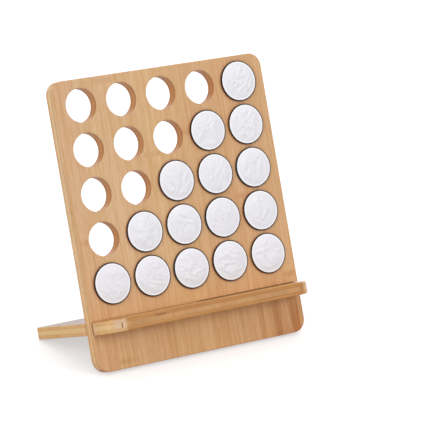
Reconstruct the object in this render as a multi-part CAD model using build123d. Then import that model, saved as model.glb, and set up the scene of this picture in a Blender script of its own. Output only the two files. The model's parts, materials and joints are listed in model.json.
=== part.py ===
from build123d import *
import math
import os

# Driving dimensions, in millimetres and degrees

# Both boards are cut from one thickness of bamboo
board_thickness = 11.0
edge_round = 0.8

# Capsule cup: its depth is measured from the seat under the flange
cup_root_diameter = 29.1
cup_depth = 26.6
cup_wall = 0.9
cup_ledge_width = 0.7
flange_thickness = 0.45
flange_seat_width = 2.9
flute_count = 32
flute_radius = 0.9
flute_cut_depth = 0.45

# Depths along the cup, as shares of its whole depth
flute_start_share = 0.09
flute_end_share = 0.662
ledge_depth_share = 0.722
neck_depth_share = 0.786
bead_depth_share = 0.861

# Diameters along the cup, as shares of its root diameter
ledge_share = 0.8935
neck_share = 0.8247
bead_share = 0.8522
end_share = 0.6254

# Seal ring and foils of a capsule
seal_thickness = 1.28
seal_width = 3.35
seal_overhang = 0.25
seal_edge_round = 0.3
lid_inset = 0.65
end_disc_inset = 0.7
foil_thickness = 0.12

# Capsule panel: its grid of holes, the room between seated capsules and the board left around them
hole_rows = 5
hole_columns = 5
hole_clearance = 0.85
hole_edge_chamfer = 0.4
column_gap = 4.4
row_gap = 2.9
side_rim = 9.2
top_rim = 5.05
bottom_row_clearance = 12.45
panel_corner_radius = 12.0

# Support board, square to the panel
support_underside_height = 34.4
support_front_reach = 25.0
support_rear_reach = 96.0
support_front_corner_radius = 17.5
support_rear_corner_radius = 6.0

# Cross-lap joint between the two boards
lap_side_clearance = 0.5
lap_end_gap = 0.5

# One overrun serves all cuts
cut_overrun = 2.0

# Radii of a capsule and its hole, from the cup's root outwards
root_radius = cup_root_diameter / 2
hole_radius = root_radius + hole_clearance
flange_radius = hole_radius + flange_seat_width
seal_radius = flange_radius + seal_overhang
lid_radius = seal_radius - lid_inset

# Radii and depth of the cup's narrow end
ledge_radius = root_radius * ledge_share
neck_radius = root_radius * neck_share
bead_radius = root_radius * bead_share
end_radius = root_radius * end_share
ledge_depth = cup_depth * ledge_depth_share

# The grid of seated capsules sets the size of the panel
column_pitch = 2 * seal_radius + column_gap
row_pitch = 2 * seal_radius + row_gap
panel_width = (hole_columns - 1) * column_pitch + 2 * (seal_radius + side_rim)
bottom_row_height = support_underside_height + board_thickness + bottom_row_clearance + seal_radius
panel_height = bottom_row_height + (hole_rows - 1) * row_pitch + seal_radius + top_rim

# The panel leans back until the support's rear edge meets the floor
lean_angle = math.degrees(math.atan2(support_underside_height, support_rear_reach))

# Flat positions: x to the right, y into the panel from its front face, z up from its lower edge
hole_grid = [(row, column) for row in range(1, hole_rows + 1) for column in range(1, hole_columns + 1)]
filled_holes = [(row, column) for row, column in hole_grid if row + column > hole_columns]


def hole_place(row, column):
    across = (column - (hole_columns + 1) / 2) * column_pitch
    up = bottom_row_height + (hole_rows - row) * row_pitch
    return Pos(across, 0, up)


# Hole cutter, with its two edges broken, along y
def hole_cutter():
    depth = board_thickness + cut_overrun
    flare_radius = hole_radius + hole_edge_chamfer + cut_overrun
    waist = hole_edge_chamfer
    outline = Polyline(
        (0, -cut_overrun),
        (flare_radius, -cut_overrun),
        (hole_radius, waist),
        (hole_radius, board_thickness - waist),
        (flare_radius, depth),
        (0, depth),
        close=True,
    )
    return revolve(make_face(outline), Axis.Y)


# Capsule panel: rounded plate, holes, then the slot from its right edge to its middle
def make_panel():
    outline = Pos(0, panel_height / 2) * RectangleRounded(panel_width, panel_height, panel_corner_radius)
    plate = extrude(Plane.XZ * outline, -board_thickness)
    faces = plate.faces().sort_by(Axis.Y)
    plate = fillet(faces[0].edges() + faces[-1].edges(), edge_round)
    cutter = hole_cutter()
    plate = plate - [hole_place(row, column) * cutter for row, column in hole_grid]
    slot_length = panel_width / 2 + lap_end_gap + cut_overrun
    slot_height = board_thickness + 2 * lap_side_clearance
    slot = Box(slot_length, board_thickness + 2 * cut_overrun, slot_height)
    slot_middle = support_underside_height + board_thickness / 2
    return plate - Pos(slot_length / 2 - lap_end_gap, board_thickness / 2, slot_middle) * slot


# Support board: rounded plate with the slot from its left edge to its middle
def make_support():
    length = support_front_reach + board_thickness + support_rear_reach
    outline = Pos(0, length / 2 - support_front_reach) * Rectangle(panel_width, length)
    outline = fillet(outline.vertices().group_by(Axis.Y)[0], support_front_corner_radius)
    outline = fillet(outline.vertices().group_by(Axis.Y)[-1], support_rear_corner_radius)
    plate = extrude(Pos(0, 0, support_underside_height) * outline, board_thickness)
    faces = plate.faces().sort_by(Axis.Z)
    plate = fillet(faces[0].edges() + faces[-1].edges(), edge_round)
    slot_length = panel_width / 2 + lap_end_gap + cut_overrun
    slot_width = board_thickness + 2 * lap_side_clearance
    slot = Box(slot_length, slot_width, board_thickness + 2 * cut_overrun)
    slot_middle = support_underside_height + board_thickness / 2
    return plate - Pos(lap_end_gap - slot_length / 2, board_thickness / 2, slot_middle) * slot


# Capsule cup about z, its flange below the seat at z = 0 and its narrow end up
def make_cup():
    step_radius = ledge_radius - cup_ledge_width
    neck_depth = cup_depth * neck_depth_share
    bead_depth = cup_depth * bead_depth_share
    outside = [
        Line((0, -flange_thickness), (flange_radius, -flange_thickness)),
        Line((flange_radius, -flange_thickness), (flange_radius, 0)),
        Line((flange_radius, 0), (root_radius, 0)),
        Line((root_radius, 0), (ledge_radius, ledge_depth)),
        Line((ledge_radius, ledge_depth), (step_radius, ledge_depth)),
        Line((step_radius, ledge_depth), (neck_radius, neck_depth)),
        Line((neck_radius, neck_depth), (bead_radius, bead_depth)),
        TangentArc((bead_radius, bead_depth), (end_radius, cup_depth), tangent=(0, 1)),
        Line((end_radius, cup_depth), (0, cup_depth)),
        Line((0, cup_depth), (0, -flange_thickness)),
    ]
    solid = revolve(Plane.XZ * make_face(outside), Axis.Z)
    inner_root = root_radius - cup_wall
    inside = Polyline(
        (0, -flange_thickness - cut_overrun),
        (inner_root, -flange_thickness - cut_overrun),
        (inner_root, 0),
        (neck_radius - cup_ledge_width - cup_wall, ledge_depth),
        (end_radius - cup_wall, cup_depth - cup_wall),
        (0, cup_depth - cup_wall),
        close=True,
    )
    solid = solid - revolve(Plane.XZ * make_face(inside), Axis.Z)
    return solid - flute_cutters()


# Flutes follow the taper of the wall, so each cutter leans inwards with it
def flute_cutters():
    taper = (root_radius - ledge_radius) / ledge_depth
    middle_depth = cup_depth * (flute_start_share + flute_end_share) / 2
    middle_radius = root_radius - taper * middle_depth
    rod_length = cup_depth * (flute_end_share - flute_start_share)
    rod = Cylinder(flute_radius, rod_length) + Pos(0, 0, rod_length / 2) * Sphere(flute_radius)
    stand_off = middle_radius + flute_radius - flute_cut_depth
    leaning = Pos(stand_off, 0, middle_depth) * Rot(0, -math.degrees(math.atan(taper)), 0) * rod
    return [Rot(0, 0, turn * 360 / flute_count) * leaning for turn in range(flute_count)]


# Seal ring on the lid side of the flange
def make_seal():
    disc = extrude(Pos(0, 0, -flange_thickness) * Circle(seal_radius), -seal_thickness)
    disc = fillet(disc.edges().filter_by(GeomType.CIRCLE), seal_edge_round)
    opening = Circle(seal_radius - seal_width)
    return disc - extrude(opening, seal_thickness + flange_thickness + cut_overrun, both=True)


# Foil lid on the seal ring, and the foil disc on the narrow end
def make_foils():
    lid_seat = -flange_thickness - seal_thickness
    lid = extrude(Pos(0, 0, lid_seat) * Circle(lid_radius), -foil_thickness)
    disc = extrude(Pos(0, 0, cup_depth) * Circle(end_radius - end_disc_inset), foil_thickness)
    return [lid, disc]


# A capsule's narrow end points into the panel, so its z axis turns to y
into_panel = Rot(-90, 0, 0)
panel = make_panel()
support = make_support()
cup = into_panel * make_cup()
seal = into_panel * make_seal()
foils = [into_panel * foil for foil in make_foils()]

# Stand the model up: lean it back, then set the middle of its footprint at the origin
leaned = Rot(-lean_angle, 0, 0)
box = Compound(children=[leaned * panel, leaned * support]).bounding_box()
stand_up = Pos(0, -(box.min.Y + box.max.Y) / 2, -box.min.Z) * leaned

nodes = {
    "capsule_panel": [stand_up * panel],
    "support_board": [stand_up * support],
}
for row, column in filled_holes:
    seat = stand_up * hole_place(row, column)
    place_name = f"r{row}c{column}"
    nodes["capsule_cup_" + place_name] = [seat * cup]
    nodes["capsule_seal_" + place_name] = [seat * seal]
    nodes["capsule_foils_" + place_name] = [seat * foil for foil in foils]

os.makedirs("parts", exist_ok=True)
for name, shapes in nodes.items():
    solids = [solid for shape in shapes for solid in shape.solids()]
    export_step(Compound(children=solids), f"parts/{name}.step")

print("lean", lean_angle, "footprint", box.min, box.max, "nodes", len(nodes))
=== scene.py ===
import bpy
import bmesh
import json
import math
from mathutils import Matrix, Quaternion, Vector, noise


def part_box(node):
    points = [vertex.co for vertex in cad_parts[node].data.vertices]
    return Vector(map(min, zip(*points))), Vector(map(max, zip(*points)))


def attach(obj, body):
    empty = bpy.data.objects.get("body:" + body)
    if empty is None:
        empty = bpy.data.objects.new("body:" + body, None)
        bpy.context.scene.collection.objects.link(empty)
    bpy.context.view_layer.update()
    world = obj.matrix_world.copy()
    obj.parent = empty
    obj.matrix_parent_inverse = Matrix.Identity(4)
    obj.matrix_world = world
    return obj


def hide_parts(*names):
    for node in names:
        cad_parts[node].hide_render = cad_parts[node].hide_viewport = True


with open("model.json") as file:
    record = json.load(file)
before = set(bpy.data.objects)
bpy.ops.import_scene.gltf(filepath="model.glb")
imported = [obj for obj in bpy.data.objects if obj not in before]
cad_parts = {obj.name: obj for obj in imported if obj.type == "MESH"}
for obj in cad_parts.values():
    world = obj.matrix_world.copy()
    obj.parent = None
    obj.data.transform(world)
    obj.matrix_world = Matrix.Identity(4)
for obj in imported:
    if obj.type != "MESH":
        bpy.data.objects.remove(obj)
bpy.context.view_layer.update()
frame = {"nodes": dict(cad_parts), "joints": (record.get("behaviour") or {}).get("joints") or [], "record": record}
print("frame loaded:", len(frame["nodes"]), "nodes")

# Directions of the leaning panel, from the way a capsule pulls out
pulls = [joint for joint in frame["joints"] if joint["name"].endswith("_pull")]
outward = Vector(pulls[0]["axis"]).normalized()
rightward = Vector((1, 0, 0))
upward = outward.cross(rightward).normalized()  # up the panel's face
if upward.z < 0:
    upward = -upward
leanAngle = math.atan2(outward.z, -outward.y)
seatedTags = [joint["child"].replace("capsule_", "") for joint in pulls]


def spanAlong(nodeName, axis):
    reach = [vertex.co.dot(axis) for vertex in frame["nodes"][nodeName].data.vertices]
    return min(reach), max(reach)


# Shader node helpers

def addNode(tree, kind, inputs=None, **settings):
    node = tree.nodes.new(kind)
    for name, value in settings.items():
        setattr(node, name, value)
    for key, value in (inputs or {}).items():
        setInput(tree, node, key, value)
    return node


def setInput(tree, node, key, value):
    socket = node.inputs[key]
    if isinstance(value, bpy.types.NodeSocket):
        tree.links.new(value, socket)
    else:
        socket.default_value = value


def calc(tree, operation, first, second=None, third=None):
    node = addNode(tree, "ShaderNodeMath", operation=operation)
    for index, value in enumerate((first, second, third)):
        if value is not None:
            setInput(tree, node, index, value)
    return node.outputs[0]


def mixColor(tree, factor, first, second, blend="MIX"):
    node = addNode(tree, "ShaderNodeMix", data_type="RGBA", blend_type=blend, clamp_factor=True)
    setInput(tree, node, 0, factor)
    setInput(tree, node, 6, first)
    setInput(tree, node, 7, second)
    return node.outputs[2]


def remap(tree, value, fromLow, fromHigh, toLow=0.0, toHigh=1.0, smooth=True):
    node = addNode(tree, "ShaderNodeMapRange", interpolation_type="SMOOTHSTEP" if smooth else "LINEAR")
    for index, item in enumerate((value, fromLow, fromHigh, toLow, toHigh)):
        setInput(tree, node, index, item)
    return node.outputs[0]


def noiseAt(tree, vector, scale, detail=2.0, rough=0.5, distortion=0.0):
    node = addNode(tree, "ShaderNodeTexNoise", {
        "Vector": vector, "Scale": scale, "Detail": detail, "Roughness": rough, "Distortion": distortion})
    return node.outputs["Fac"]


def joinVector(tree, x, y, z):
    return addNode(tree, "ShaderNodeCombineXYZ", {0: x, 1: y, 2: z}).outputs[0]


def splitVector(tree, vector):
    return addNode(tree, "ShaderNodeSeparateXYZ", {0: vector}).outputs


def newGroup(name, inputs, outputs):
    group = bpy.data.node_groups.new(name, "ShaderNodeTree")
    for label, kind, value in inputs:
        socket = group.interface.new_socket(label, in_out="INPUT", socket_type=kind)
        if value is not None:
            socket.default_value = value
    for label, kind in outputs:
        group.interface.new_socket(label, in_out="OUTPUT", socket_type=kind)
    return group, addNode(group, "NodeGroupInput").outputs, addNode(group, "NodeGroupOutput")


def useGroup(tree, group, inputs):
    node = addNode(tree, "ShaderNodeGroup", node_tree=group)
    for key, value in inputs.items():
        setInput(tree, node, key, value)
    return node.outputs


def newMaterial(name, inputs):
    material = bpy.data.materials.new(name)
    material.use_nodes = True
    tree = material.node_tree
    shader = tree.nodes["Principled BSDF"]
    for key, value in inputs.items():
        shader.inputs[key].default_value = value
    return material, tree, shader


def addBump(tree, shader, height, distance, strength=1.0):
    bump = addNode(tree, "ShaderNodeBump", {"Height": height, "Distance": distance, "Strength": strength})
    tree.links.new(bump.outputs[0], shader.inputs["Normal"])


# Bamboo that both boards are made of
caneLook = {
    "stripWidth": 0.0205,
    "coreStripWidth": 0.0185,
    "coreHalf": 0.0022,          # half the thickness of the core ply
    "glueWidth": 0.0003,
    "knucklePitch": 0.31,
    "knuckleShare": 0.014,       # half height of a knuckle, of the pitch
    "veinShade": (0.48, 0.205, 0.055, 1),
    "knuckleShade": (0.45, 0.19, 0.05, 1),
    "seamShade": (0.34, 0.17, 0.07, 1),
    "glueShade": (0.3, 0.15, 0.06, 1),
}


# Bamboo strips glued side by side: x across the grain, y into the board, z along the grain
def makeStripGroup():
    group, inp, out = newGroup("bambooStrips", [
        ("Vector", "NodeSocketVector", None),
        ("Strip Width", "NodeSocketFloat", caneLook["stripWidth"]),
        ("Tone Spread", "NodeSocketFloat", 0.14),
        ("Streaks", "NodeSocketFloat", 1.0),
        ("Seed", "NodeSocketFloat", 0.0),
        ("Dark Fibre", "NodeSocketColor", (0.5, 0.27, 0.11, 1)),
        ("Pale Fibre", "NodeSocketColor", (0.7, 0.45, 0.24, 1)),
    ], [("Color", "NodeSocketColor"), ("Height", "NodeSocketFloat"), ("Roughness", "NodeSocketFloat")])
    tree = group
    across, deep, along = splitVector(tree, inp["Vector"])[:3]
    stripPlace = calc(tree, "ADD", calc(tree, "DIVIDE", across, inp["Strip Width"]), inp["Seed"])
    stripIndex = calc(tree, "FLOOR", stripPlace)
    chance = addNode(tree, "ShaderNodeTexWhiteNoise", {"W": stripIndex}, noise_dimensions="1D")
    toneA, toneB, toneC = addNode(tree, "ShaderNodeSeparateColor", {0: chance.outputs["Color"]}).outputs[:3]
    slide = calc(tree, "MULTIPLY", toneB, 3.7)  # each strip is cut from another cane

    def drawnOut(stretch):  # the noise follows the cane
        place = calc(tree, "ADD", calc(tree, "MULTIPLY", along, stretch), slide)
        return joinVector(tree, across, deep, place)

    grain = drawnOut(0.022)
    broad = noiseAt(tree, grain, 210.0, 3.0, 0.55, 0.25)
    fine = noiseAt(tree, grain, 720.0, 3.0, 0.6)
    fibre = noiseAt(tree, drawnOut(0.07), 1700.0, 1.0)
    drift = noiseAt(tree, drawnOut(0.5), 26.0, 2.0)
    weave = calc(tree, "ADD", calc(tree, "MULTIPLY", broad, 0.3), calc(tree, "MULTIPLY", fine, 0.48))
    weave = calc(tree, "ADD", weave, calc(tree, "MULTIPLY", fibre, 0.22))
    pale = remap(tree, weave, 0.3, 0.66, smooth=False)
    dark = calc(tree, "MULTIPLY", calc(tree, "SUBTRACT", 1.0, pale), inp["Streaks"])
    pale = calc(tree, "SUBTRACT", 1.0, dark)
    color = mixColor(tree, pale, inp["Dark Fibre"], inp["Pale Fibre"])
    # a few dark vascular streaks
    vein = remap(tree, noiseAt(tree, grain, 330.0, 1.0, 0.5, 0.4), 0.66, 0.78)
    color = mixColor(tree, calc(tree, "MULTIPLY", vein, 0.45), color, caneLook["veinShade"])
    # knuckles of the cane, at another height in each strip
    knucklePlace = calc(tree, "ADD", calc(tree, "DIVIDE", along, caneLook["knucklePitch"]),
                        calc(tree, "MULTIPLY", toneC, 5.0))
    knuckleGap = calc(tree, "ABSOLUTE", calc(tree, "SUBTRACT", calc(tree, "FRACT", knucklePlace), 0.5))
    ragged = calc(tree, "MULTIPLY", calc(tree, "SUBTRACT", fine, 0.5), 0.03)
    knuckleGap = calc(tree, "ADD", knuckleGap, ragged)
    knuckle = remap(tree, knuckleGap, 0.0, caneLook["knuckleShare"], 1.0, 0.0)
    knuckle = calc(tree, "MULTIPLY", knuckle, remap(tree, broad, 0.3, 0.65))
    color = mixColor(tree, calc(tree, "MULTIPLY", knuckle, 0.5), color, caneLook["knuckleShade"])
    # tone of each strip, and slow drift along it
    tone = calc(tree, "MULTIPLY", calc(tree, "SUBTRACT", toneA, 0.5), inp["Tone Spread"])
    tone = calc(tree, "ADD", tone, calc(tree, "MULTIPLY", calc(tree, "SUBTRACT", drift, 0.5), 0.08))
    shade = addNode(tree, "ShaderNodeHueSaturation", {
        "Hue": remap(tree, toneC, 0.0, 1.0, 0.497, 0.503, False),
        "Saturation": remap(tree, toneB, 0.0, 1.0, 0.97, 1.04, False),
        "Value": calc(tree, "ADD", 1.0, tone), "Color": color})
    # glue line between strips
    edge = calc(tree, "ABSOLUTE", calc(tree, "SUBTRACT", calc(tree, "FRACT", stripPlace), 0.5))
    seam = remap(tree, edge, 0.488, 0.498)
    color = mixColor(tree, calc(tree, "MULTIPLY", seam, 0.22), shade.outputs[0], caneLook["seamShade"])
    relief = calc(tree, "ADD", calc(tree, "MULTIPLY", fine, 0.6), calc(tree, "MULTIPLY", fibre, 0.4))
    height = calc(tree, "SUBTRACT", relief, calc(tree, "MULTIPLY", seam, 0.5))
    rough = remap(tree, weave, 0.3, 0.7, 0.56, 0.42, False)
    for key, value in (("Color", color), ("Height", height), ("Roughness", rough)):
        setInput(tree, out, key, value)
    return group


# Three-ply board: outer plies along z, the core across them
def makePlyGroup(strips):
    group, inp, out = newGroup("threePlyBoard", [
        ("Vector", "NodeSocketVector", None),
        ("Core Half", "NodeSocketFloat", caneLook["coreHalf"]),
        ("Tone Spread", "NodeSocketFloat", 0.14),
        ("Streaks", "NodeSocketFloat", 1.0),
        ("Seed", "NodeSocketFloat", 0.0),
        ("Dark Fibre", "NodeSocketColor", (0.5, 0.27, 0.11, 1)),
        ("Pale Fibre", "NodeSocketColor", (0.7, 0.45, 0.24, 1)),
        ("Core Dark", "NodeSocketColor", (0.6, 0.38, 0.19, 1)),
        ("Core Pale", "NodeSocketColor", (0.76, 0.55, 0.33, 1)),
        ("Core Spread", "NodeSocketFloat", 0.2),
        ("Glue", "NodeSocketFloat", 0.4),
    ], [("Color", "NodeSocketColor"), ("Height", "NodeSocketFloat"), ("Roughness", "NodeSocketFloat")])
    tree = group
    across, deep, along = splitVector(tree, inp["Vector"])[:3]
    outer = useGroup(tree, strips, {
        "Vector": inp["Vector"], "Strip Width": caneLook["stripWidth"], "Seed": inp["Seed"],
        "Tone Spread": inp["Tone Spread"], "Streaks": inp["Streaks"],
        "Dark Fibre": inp["Dark Fibre"], "Pale Fibre": inp["Pale Fibre"]})
    core = useGroup(tree, strips, {
        "Vector": joinVector(tree, along, deep, across), "Strip Width": caneLook["coreStripWidth"],
        "Seed": inp["Seed"], "Tone Spread": inp["Core Spread"],
        "Streaks": calc(tree, "MULTIPLY", inp["Streaks"], 0.6),
        "Dark Fibre": inp["Core Dark"], "Pale Fibre": inp["Core Pale"]})
    fromMiddle = calc(tree, "ABSOLUTE", deep)
    inCore = calc(tree, "LESS_THAN", fromMiddle, inp["Core Half"])
    fromGlue = calc(tree, "ABSOLUTE", calc(tree, "SUBTRACT", fromMiddle, inp["Core Half"]))
    glue = remap(tree, fromGlue, 0.0, caneLook["glueWidth"], 1.0, 0.0)
    color = mixColor(tree, inCore, outer["Color"], core["Color"])
    color = mixColor(tree, calc(tree, "MULTIPLY", glue, inp["Glue"]), color, caneLook["glueShade"])
    height = calc(tree, "SUBTRACT", outer["Height"], calc(tree, "MULTIPLY", glue, 0.4))
    for key, value in (("Color", color), ("Height", height), ("Roughness", outer["Roughness"])):
        setInput(tree, out, key, value)
    return group


# Handling marks: soft smudges and fine specks, for plastic, rubber and foil
def makeHandlingGroup():
    group, inp, out = newGroup("handlingMarks", [
        ("Vector", "NodeSocketVector", None),
        ("Color", "NodeSocketColor", (0.5, 0.5, 0.5, 1)),
        ("Roughness", "NodeSocketFloat", 0.4),
        ("Smudge", "NodeSocketFloat", 0.1),
        ("Dust", "NodeSocketFloat", 0.1),
    ], [("Color", "NodeSocketColor"), ("Roughness", "NodeSocketFloat"), ("Height", "NodeSocketFloat")])
    tree = group
    smudge = noiseAt(tree, inp["Vector"], 95.0, 3.0, 0.55, 0.6)
    grain = noiseAt(tree, inp["Vector"], 2600.0, 2.0)
    speck = remap(tree, noiseAt(tree, inp["Vector"], 900.0, 1.0), 0.7, 0.78)
    uneven = calc(tree, "MULTIPLY", calc(tree, "SUBTRACT", smudge, 0.5), inp["Smudge"])
    rough = calc(tree, "ADD", inp["Roughness"], uneven)
    dust = calc(tree, "MULTIPLY", speck, inp["Dust"])
    color = mixColor(tree, dust, inp["Color"], (0.62, 0.58, 0.52, 1))
    shade = addNode(tree, "ShaderNodeHueSaturation", {
        "Hue": 0.5, "Saturation": 1.0, "Color": color,
        "Value": remap(tree, smudge, 0.2, 0.8, 0.95, 1.05, False)})
    for key, value in (("Color", shade.outputs[0]), ("Roughness", rough), ("Height", grain)):
        setInput(tree, out, key, value)
    return group


stripGroup = makeStripGroup()
plyGroup = makePlyGroup(stripGroup)
handlingGroup = makeHandlingGroup()
print("shared shader groups ready")


# Capsule panel
panelLook = {
    "darkFibre": (0.515, 0.256, 0.076, 1),
    "paleFibre": (0.69, 0.458, 0.268, 1),
    "coreDark": (0.52, 0.30, 0.13, 1),
    "corePale": (0.78, 0.52, 0.28, 1),
    "toneSpread": 0.035,
    "coreSpread": 0.07,
    "streaks": 1.0,
    "glue": 0.15,
    "seed": 3.35,
    "bump": 0.0001,
    "cutShade": (0.75, 0.50, 0.235, 1),     # hole walls and slot: painted shade in these recesses, and cut fibres that drink more oil
    "cutInset": 0.004,                      # the outer edges get neither the painted shade nor the stain of the cuts
    "lowShade": (0.99, 0.90, 0.77, 1),      # darker and warmer towards the foot, by heights above it
    "lowFrom": 0.14,
    "lowTo": 0.02,
    "rightShade": (0.94, 0.86, 0.77, 1),    # and towards the right
    "shadeLeft": -0.06,
    "ripeShade": (0.64, 0.40, 0.17, 1),     # brown streaks at the lower right
    "ripeTop": 0.06,
    "ripeBottom": 0.015,
    "ripeLeft": 0.035,
    "ripeRight": 0.1,
    "slotShade": (0.42, 0.27, 0.16, 1),     # painted shadow in the slot's gap above the support board
    "slotEdge": 0.0004,
    "contactShade": (0.56, 0.38, 0.24, 1),  # painted shadow in the creases beside the capsules
    "contactReach": 0.003,
}


def boardVector(tree, sideways, offset):
    coords = addNode(tree, "ShaderNodeTexCoord").outputs["Object"]
    level = addNode(tree, "ShaderNodeMapping", {
        "Vector": coords, "Rotation": (leanAngle, 0, 0), "Location": offset})
    across, deep, up = splitVector(tree, level.outputs[0])[:3]
    if sideways:
        return joinVector(tree, deep, up, across)  # support: grain runs left to right, depth runs up
    return joinVector(tree, across, deep, up)


def facing(tree, axis):
    normal = addNode(tree, "ShaderNodeTexCoord").outputs["Normal"]
    toward = addNode(tree, "ShaderNodeVectorMath", {0: normal, 1: axis}, operation="DOT_PRODUCT")
    return calc(tree, "ABSOLUTE", toward.outputs["Value"])


def boardMaterial(name, look, sideways, offset, tint):
    material, tree, shader = newMaterial(name, {
        "Specular IOR Level": 0.3, "Coat Weight": 0.14, "Coat Roughness": 0.3})
    place = boardVector(tree, sideways, offset)
    wood = useGroup(tree, plyGroup, {
        "Vector": place, "Seed": look["seed"], "Streaks": look["streaks"],
        "Tone Spread": look["toneSpread"], "Core Spread": look["coreSpread"],
        "Dark Fibre": look["darkFibre"], "Pale Fibre": look["paleFibre"],
        "Core Dark": look["coreDark"], "Core Pale": look["corePale"], "Glue": look["glue"]})
    tree.links.new(tint(tree, place, wood["Color"], look), shader.inputs["Base Color"])
    tree.links.new(wood["Roughness"], shader.inputs["Roughness"])
    addBump(tree, shader, wood["Height"], look["bump"])
    return material


def tintPanel(tree, place, color, look):
    across, deep, up = splitVector(tree, place)[:3]
    inside = calc(tree, "LESS_THAN", calc(tree, "ABSOLUTE", across), panelHalf - look["cutInset"])
    # painted shade in the hole walls and slot, together with the darker stain of the cut fibres
    cut = calc(tree, "MULTIPLY", remap(tree, facing(tree, outward), 0.35, 0.8, 1.0, 0.0), inside)
    color = mixColor(tree, cut, color, look["cutShade"], "MULTIPLY")
    low = remap(tree, up, panelFoot + look["lowFrom"], panelFoot + look["lowTo"])
    color = mixColor(tree, low, color, look["lowShade"], "MULTIPLY")
    toRight = remap(tree, across, look["shadeLeft"], panelHalf)
    toRight = calc(tree, "MULTIPLY", toRight, calc(tree, "SUBTRACT", 1.0, low))
    color = mixColor(tree, toRight, color, look["rightShade"], "MULTIPLY")
    streakPlace = joinVector(tree, across, deep, calc(tree, "MULTIPLY", up, 0.03))
    streak = noiseAt(tree, streakPlace, 130.0, 3.0, 0.6)
    ripe = calc(tree, "MULTIPLY", remap(tree, across, look["ripeLeft"], look["ripeRight"]),
                remap(tree, up, panelFoot + look["ripeTop"], panelFoot + look["ripeBottom"]))
    ripe = calc(tree, "MULTIPLY", ripe, remap(tree, streak, 0.32, 0.6))
    color = mixColor(tree, ripe, color, look["ripeShade"], "MULTIPLY")
    # painted shadow: a dark line along the slot's gap above the support board
    slotGap = calc(tree, "ABSOLUTE", calc(tree, "SUBTRACT", up, supportSpan[1] + look["slotEdge"]))
    slot = remap(tree, slotGap, look["slotEdge"] * 0.7, look["slotEdge"] * 1.3, 1.0, 0.0)
    slot = calc(tree, "MULTIPLY", slot, calc(tree, "GREATER_THAN", across, -look["slotEdge"]))
    color = mixColor(tree, slot, color, look["slotShade"], "MULTIPLY")
    # painted shadow: darker where the wood lies close to other surfaces
    near = addNode(tree, "ShaderNodeAmbientOcclusion", {"Distance": look["contactReach"]}, samples=8)
    contact = remap(tree, near.outputs["AO"], 0.4, 0.95, 1.0, 0.0)
    contact = calc(tree, "MULTIPLY", contact, remap(tree, up, *supportSpan))  # not below the support board
    return mixColor(tree, contact, color, look["contactShade"], "MULTIPLY")


def dress(nodeName, material):
    piece = frame["nodes"][nodeName]
    piece.data.materials.clear()
    piece.data.materials.append(material)


supportSpan = spanAlong("support_board", upward)
panelSpan = spanAlong("capsule_panel", -outward)
panelMiddle = sum(panelSpan) / 2
panelHalf = spanAlong("capsule_panel", rightward)[1]
panelFoot = spanAlong("capsule_panel", upward)[0]
dress("capsule_panel", boardMaterial("bambooPanel", panelLook, False, (0, -panelMiddle, 0), tintPanel))
print("capsule panel dressed")

# Support board
supportLook = {
    "darkFibre": (0.48, 0.23, 0.065, 1),
    "paleFibre": (0.76, 0.445, 0.165, 1),
    "coreDark": (0.45, 0.24, 0.09, 1),
    "corePale": (0.74, 0.475, 0.22, 1),
    "toneSpread": 0.1,
    "coreSpread": 0.16,
    "streaks": 1.0,
    "glue": 0.45,
    "seed": 8.6,
    "bump": 0.0001,
    "lipShade": (0.755, 0.62, 0.49, 1),   # front edge, darker
    "lipEdge": 0.0004,
    "lipDepth": 0.0025,
    "markShade": (0.40, 0.25, 0.13, 1),
    "paleCane": (0.62, 0.46, 0.34, 1),    # painted highlight on the lip's rounded left end
    "paleEnd": -0.0895,
    "paleFade": 0.002,
    "paleNear": 0.001,                    # it fades round the corner
    "paleFar": 0.003,
    "paleLow": -0.004,                    # and towards the lower ply
    "paleHigh": -0.001,
    "gapShade": (0.36, 0.16, 0.04, 1),    # painted shadow in the gap between the lip's left end and the panel
    "gapHalf": 0.0012,
    "sheen": (0.36, 0.28, 0.255, 1),      # painted grey reflection on the upper face behind the panel, seen along its surface
    # butt joints and fillers along the lip: from, to, lowest and highest place in the edge, strength
    "marks": [(-0.0946, -0.0934, -0.0024, 0.0024, 1.0), (-0.059, -0.048, 0.0019, 0.0040, 0.5),
              (0.096, 0.112, -0.0021, 0.0021, 0.4), (-0.041, -0.0402, -0.0021, 0.0021, 0.5)],
}


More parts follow.
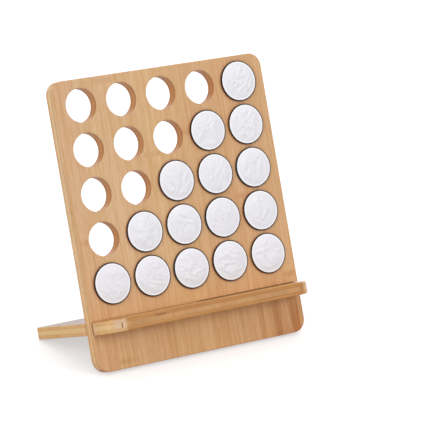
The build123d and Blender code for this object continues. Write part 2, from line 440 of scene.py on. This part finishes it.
def tintSupport(tree, place, color, look):
    inward, up, along = splitVector(tree, place)[:3]  # inward runs from the lip to the rear edge
    onTop = remap(tree, facing(tree, upward), 0.4, 0.8)
    onEdge = calc(tree, "SUBTRACT", 1.0, onTop)
    toRight = remap(tree, along, look["paleEnd"] - look["paleFade"], look["paleEnd"] + look["paleFade"])
    lip = remap(tree, inward, supportFront + look["lipEdge"], supportFront + look["lipDepth"], 1.0, 0.0)
    color = mixColor(tree, calc(tree, "MULTIPLY", lip, toRight), color, look["lipShade"], "MULTIPLY")
    # painted highlight on the rounded left end of the lip
    pale = calc(tree, "MULTIPLY", calc(tree, "SUBTRACT", 1.0, toRight), onEdge)
    corner = remap(tree, inward, supportFront + look["paleNear"], supportFront + look["paleFar"], 0.6, 0.12)
    pale = calc(tree, "MULTIPLY", pale, corner)
    pale = calc(tree, "MULTIPLY", pale, remap(tree, up, look["paleLow"], look["paleHigh"], 0.4, 1.0))
    pale = calc(tree, "MULTIPLY", pale, calc(tree, "LESS_THAN", inward, panelSpan[0]))
    color = mixColor(tree, pale, color, look["paleCane"])
    # painted shadow in the gap beside the panel
    gapMiddle = panelSpan[0] - look["gapHalf"]
    gap = calc(tree, "MULTIPLY", calc(tree, "COMPARE", inward, gapMiddle, look["gapHalf"]), onEdge)
    gap = calc(tree, "MULTIPLY", gap, calc(tree, "LESS_THAN", along, 0.0))
    color = mixColor(tree, gap, color, look["gapShade"], "MULTIPLY")
    # painted reflection, only at grazing angles
    grazing = addNode(tree, "ShaderNodeLayerWeight", {"Blend": 0.5}).outputs["Facing"]
    behind = calc(tree, "GREATER_THAN", inward, panelSpan[1])
    sheen = calc(tree, "MULTIPLY", remap(tree, grazing, 0.75, 0.9), behind)
    color = mixColor(tree, calc(tree, "MULTIPLY", sheen, onTop), color, look["sheen"])
    for left, right, low, high, strength in look["marks"]:
        across = calc(tree, "COMPARE", along, (left + right) / 2, (right - left) / 2)
        within = calc(tree, "COMPARE", up, (low + high) / 2, (high - low) / 2)
        mark = calc(tree, "MULTIPLY", calc(tree, "MULTIPLY", across, within),
                    calc(tree, "MULTIPLY", lip, strength))
        color = mixColor(tree, mark, color, look["markShade"], "MULTIPLY")
    return color


supportMiddle = sum(supportSpan) / 2
supportFront = spanAlong("support_board", -outward)[0]
dress("support_board", boardMaterial("bambooSupport", supportLook, True, (0, 0, -supportMiddle), tintSupport))
print("support board dressed")

# Moulded cups and seal rings of the capsules
cupLook = {
    "cup_red": (0.42, 0.012, 0.018, 1),
    "cup_yellow": (0.83, 0.41, 0.008, 1),
    "cup_teal": (0.008, 0.21, 0.40, 1),
    "roughness": 0.33,
    "bump": 0.00002,
    "dust": 0.08,
    "coat": 0.3,
    "specular": 0.5,
}
sealLook = {
    "color": (0.012, 0.0095, 0.009, 1),
    "roughness": 0.55,
    "bump": 0.00003,
    "dust": 0.06,
    "coat": 0.0,
    "specular": 0.22,
}


def mouldedMaterial(name, color, look):
    material, tree, shader = newMaterial(name, {
        "Coat Weight": look["coat"], "Coat Roughness": 0.2, "Specular IOR Level": look["specular"]})
    coords = addNode(tree, "ShaderNodeTexCoord").outputs["Object"]
    marks = useGroup(tree, handlingGroup, {
        "Vector": coords, "Color": color, "Roughness": look["roughness"],
        "Smudge": 0.18, "Dust": look["dust"]})
    tree.links.new(marks["Color"], shader.inputs["Base Color"])
    tree.links.new(marks["Roughness"], shader.inputs["Roughness"])
    addBump(tree, shader, marks["Height"], look["bump"])
    return material


cupMaterials = {slot: mouldedMaterial(slot + "Plastic", cupLook[slot], cupLook)
                for slot in ("cup_red", "cup_yellow", "cup_teal")}
sealMaterial = mouldedMaterial("sealRubber", sealLook["color"], sealLook)
slotOf = {row["node"]: row["material_slot"] for row in frame["record"]["subparts"]}
for tag in seatedTags:
    dress("capsule_cup_" + tag, cupMaterials[slotOf["capsule_cup_" + tag]])
    dress("capsule_seal_" + tag, sealMaterial)
print("cups and seal rings dressed:", len(seatedTags))

# Foil of the lids and end discs
foilLook = {
    "color": (0.66, 0.65, 0.685, 1),
    "band": (0.78, 0.78, 0.80, 1),
    "roughness": 0.5,
    "metallic": 0.25,
    "bump": 0.00004,
}


def foilMaterial(look):
    material, tree, shader = newMaterial("crinkledFoil", {"Metallic": look["metallic"]})
    coords = addNode(tree, "ShaderNodeTexCoord").outputs["Object"]
    marks = useGroup(tree, handlingGroup, {
        "Vector": coords, "Color": look["color"], "Roughness": look["roughness"],
        "Smudge": 0.22, "Dust": 0.0})
    fold = addNode(tree, "ShaderNodeTexVoronoi", {"Vector": coords, "Scale": 420.0},
                   feature="DISTANCE_TO_EDGE")
    crease = remap(tree, fold.outputs["Distance"], 0.0, 0.25)
    height = calc(tree, "ADD", calc(tree, "MULTIPLY", crease, 0.6),
                  calc(tree, "MULTIPLY", marks["Height"], 0.2))
    band = addNode(tree, "ShaderNodeAttribute", attribute_name="pressedBand").outputs["Fac"]
    tree.links.new(mixColor(tree, band, marks["Color"], look["band"]), shader.inputs["Base Color"])
    tree.links.new(marks["Roughness"], shader.inputs["Roughness"])
    addBump(tree, shader, height, look["bump"])
    return material


lidShape = {
    "radius": 0.0177,
    "sealBand": 0.0021,      # flat band pressed on the seal ring
    "paleBand": 0.0014,      # its outermost part stays bright
    "puff": 0.0005,          # rise of the middle
    "crinkle": 0.00052,      # depth of the crinkles
    "crinkleSize": 0.0058,
    "pleat": 0.00005,
    "thickness": 0.00012,
    "rings": 34,
    "segments": 84,
    "discRadius": 0.0084,
    "discRings": 10,
    "discSegments": 48,
    "discCrinkle": 0.00016,
    "lidReach": 0.005,       # what lies further behind the lid is the end disc
}


def crinkleHeight(point, seed):
    turn = seed * 2.4
    acrossFold = point.x * math.cos(turn) + point.y * math.sin(turn)
    alongFold = point.y * math.cos(turn) - point.x * math.sin(turn)
    place = Vector((acrossFold, alongFold * 0.55, 0)) / lidShape["crinkleSize"]
    place += Vector((seed * 7.13, seed * 3.71, seed))
    warp = Vector((noise.noise(place * 0.6), noise.noise(place * 0.6 + Vector((9, 4, 2))), 0)) * 0.9
    folds = (1 - abs(noise.noise(place + warp))) ** 4  # sharp creases
    smallFolds = (1 - abs(noise.noise(place * 2.1 + warp * 1.6 + Vector((3, 8, 5))))) ** 4
    swell = noise.noise(place * 0.45 + Vector((5, 1, 7)))
    return 0.55 * folds + 0.28 * smallFolds + 0.5 * swell


def lidHeight(radius, angle, seed):
    shape = lidShape
    inner = shape["radius"] - shape["sealBand"]
    point = Vector((radius * math.cos(angle), radius * math.sin(angle), 0))
    if radius >= inner:
        share = (radius - inner) / shape["sealBand"]
        pleats = shape["pleat"] * math.sin(angle * 40 + seed) * (1 - share) * share * 4
        return pleats - shape["thickness"] * share * 0.5
    share = radius / inner
    rim = 1 - share ** 6
    step = min((1 - share) / 0.08, 1.0)
    dome = shape["puff"] * (1 - share * share) * 0.8
    return dome + shape["crinkle"] * crinkleHeight(point, seed) * rim * step


def polarSkin(mesh, radius, rings, segments, heightAt, place):
    centre = mesh.verts.new(place(0.0, 0.0, heightAt(0.0, 0.0)))
    previous = None
    for ring in range(1, rings + 1):
        reach = radius * ring / rings
        loop = []
        for segment in range(segments):
            angle = 2 * math.pi * segment / segments
            spot = place(reach * math.cos(angle), reach * math.sin(angle), heightAt(reach, angle))
            loop.append(mesh.verts.new(spot))
        for segment in range(segments):
            following = (segment + 1) % segments
            if previous is None:
                mesh.faces.new((centre, loop[segment], loop[following]))
            else:
                mesh.faces.new((previous[segment], loop[segment], loop[following], previous[following]))
        previous = loop
    return previous


def closeUnder(mesh, rim, drop):
    lower = [mesh.verts.new(vertex.co + drop) for vertex in rim]
    count = len(rim)
    for index in range(count):
        following = (index + 1) % count
        mesh.faces.new((rim[index], lower[index], lower[following], rim[following]))
    mesh.faces.new(list(reversed(lower)))


def markBand(data, centre):
    attribute = data.attributes.new("pressedBand", "FLOAT", "POINT")
    inner = lidShape["radius"] - lidShape["paleBand"]
    for vertex in data.vertices:
        offset = vertex.co - centre
        rise = offset.dot(outward)
        reach = (offset - outward * rise).length
        share = (reach - inner) / (lidShape["paleBand"] * 0.4)
        onLid = rise > -lidShape["lidReach"]
        attribute.data[vertex.index].value = max(0.0, min(1.0, share)) if onLid else 0.0


def makeFoils(tag, index, material):
    low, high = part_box("capsule_seal_" + tag)
    middle = (low + high) / 2
    sealSpan = spanAlong("capsule_seal_" + tag, outward)
    foilSpan = spanAlong("capsule_foils_" + tag, outward)
    axisPoint = middle - outward * middle.dot(outward)
    lidSeat = axisPoint + outward * (sealSpan[1] + lidShape["thickness"])
    discSeat = axisPoint + outward * (foilSpan[0] + lidShape["thickness"])
    mesh = bmesh.new()
    seed = 1.0 + index * 1.37
    turn = seed * 2.4

    def lidPlace(x, y, height):
        return lidSeat + rightward * x + upward * y + outward * height

    def discPlace(x, y, height):
        return discSeat - rightward * x + upward * y - outward * (lidShape["thickness"] + height)

    def discHeight(radius, angle):
        edge = 1 - (radius / lidShape["discRadius"]) ** 8
        point = Vector((radius * math.cos(angle + turn), radius * math.sin(angle + turn), 0))
        return lidShape["discCrinkle"] * crinkleHeight(point, seed + 40) * edge

    rim = polarSkin(mesh, lidShape["radius"], lidShape["rings"], lidShape["segments"],
                    lambda radius, angle: lidHeight(radius, angle, seed), lidPlace)
    closeUnder(mesh, rim, outward * -lidShape["thickness"])
    rim = polarSkin(mesh, lidShape["discRadius"], lidShape["discRings"], lidShape["discSegments"],
                    discHeight, discPlace)
    closeUnder(mesh, rim, outward * lidShape["thickness"])
    bmesh.ops.recalc_face_normals(mesh, faces=mesh.faces)
    data = bpy.data.meshes.new("foils_" + tag)
    mesh.to_mesh(data)
    mesh.free()
    markBand(data, lidSeat)
    for face in data.polygons:
        face.use_smooth = len(face.vertices) <= 4
    piece = bpy.data.objects.new("foils_" + tag, data)
    bpy.context.scene.collection.objects.link(piece)
    data.materials.append(material)
    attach(piece, "capsule_" + tag)
    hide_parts("capsule_foils_" + tag)
    return piece


foil = foilMaterial(foilLook)
lids = [makeFoils(tag, index, foil) for index, tag in enumerate(seatedTags)]
print("foil lids made:", len(lids))

# Floor, light and white surround
studio = {
    "floorSize": 40.0,
    "floorColor": (0.56, 0.56, 0.56, 1),
    "floorGlow": 0.54,       # lifts the open floor to white for the camera only
    "worldLevel": 0.585,
    "keyFrom": (0.42, -0.76, 0.50),
    "keyLevel": 0.8,
    "keyWidth": 22.0,
    "fillFrom": (-0.82, -0.36, 0.44),
    "fillLevel": 1.1,
    "fillWidth": 50.0,
    "backFrom": (0.35, 0.78, 0.52),
    "backLevel": 0.75,
    "backWidth": 60.0,
    "topFrom": (0.15, 0.15, 0.97),
    "topLevel": 0.45,
    "topWidth": 70.0,
}


def seenByCamera(tree):
    rays = addNode(tree, "ShaderNodeLightPath").outputs
    seen = calc(tree, "MAXIMUM", rays["Is Camera Ray"], rays["Is Glossy Ray"])
    return calc(tree, "MAXIMUM", seen, rays["Is Transmission Ray"])


def makeFloor():
    mesh = bmesh.new()
    bmesh.ops.create_grid(mesh, x_segments=8, y_segments=8, size=studio["floorSize"] / 2)
    data = bpy.data.meshes.new("floor")
    mesh.to_mesh(data)
    mesh.free()
    floor = bpy.data.objects.new("floor", data)
    bpy.context.scene.collection.objects.link(floor)
    material, tree, shader = newMaterial("paleFloor", {
        "Base Color": studio["floorColor"], "Roughness": 0.9, "Specular IOR Level": 0.0,
        "Emission Color": (1, 1, 1, 1)})
    glow = calc(tree, "MULTIPLY", seenByCamera(tree), studio["floorGlow"])
    tree.links.new(glow, shader.inputs["Emission Strength"])
    data.materials.append(material)


def makeSurround():
    world = bpy.data.worlds.new("whiteSurround")
    bpy.context.scene.world = world
    world.use_nodes = True
    tree = world.node_tree
    level = remap(tree, seenByCamera(tree), 0.0, 1.0, studio["worldLevel"], 1.0, False)
    back = tree.nodes["Background"]
    back.inputs["Color"].default_value = (1, 1, 1, 1)
    tree.links.new(level, back.inputs["Strength"])


def softLamp(name, comesFrom, level, width):
    lamp = bpy.data.lights.new(name, "SUN")
    lamp.energy = level
    lamp.angle = math.radians(width)  # wide, like a big diffuser
    holder = bpy.data.objects.new(name, lamp)
    holder.location = Vector(comesFrom) * 2
    holder.rotation_mode = "QUATERNION"
    holder.rotation_quaternion = (-Vector(comesFrom)).to_track_quat("-Z", "Y")
    bpy.context.scene.collection.objects.link(holder)


makeFloor()
makeSurround()
for lamp in ("key", "fill", "back", "top"):
    softLamp(lamp + "Lamp", studio[lamp + "From"], studio[lamp + "Level"], studio[lamp + "Width"])
print("studio ready")

# Camera at the photograph's angle, long lens
cameraView = {
    "place": (-1.28367, -2.01406, 0.88500),
    "aim": (0.03449, -0.01173, 0.11603),
    "roll": 0.94,
    "lens": 232.4,
    "sensor": 36.0,
}
lens = bpy.data.cameras.new("camera")
lens.lens = cameraView["lens"]
lens.sensor_width = cameraView["sensor"]
lens.clip_end = 60.0
camera = bpy.data.objects.new("camera", lens)
camera.location = cameraView["place"]
camera.rotation_mode = "QUATERNION"
look = (Vector(cameraView["aim"]) - camera.location).to_track_quat("-Z", "Y")
camera.rotation_quaternion = look @ Quaternion((0, 0, 1), math.radians(cameraView["roll"]))
bpy.context.scene.collection.objects.link(camera)
bpy.context.scene.camera = camera
bpy.context.scene.view_settings.view_transform = "Standard"
print("camera ready")
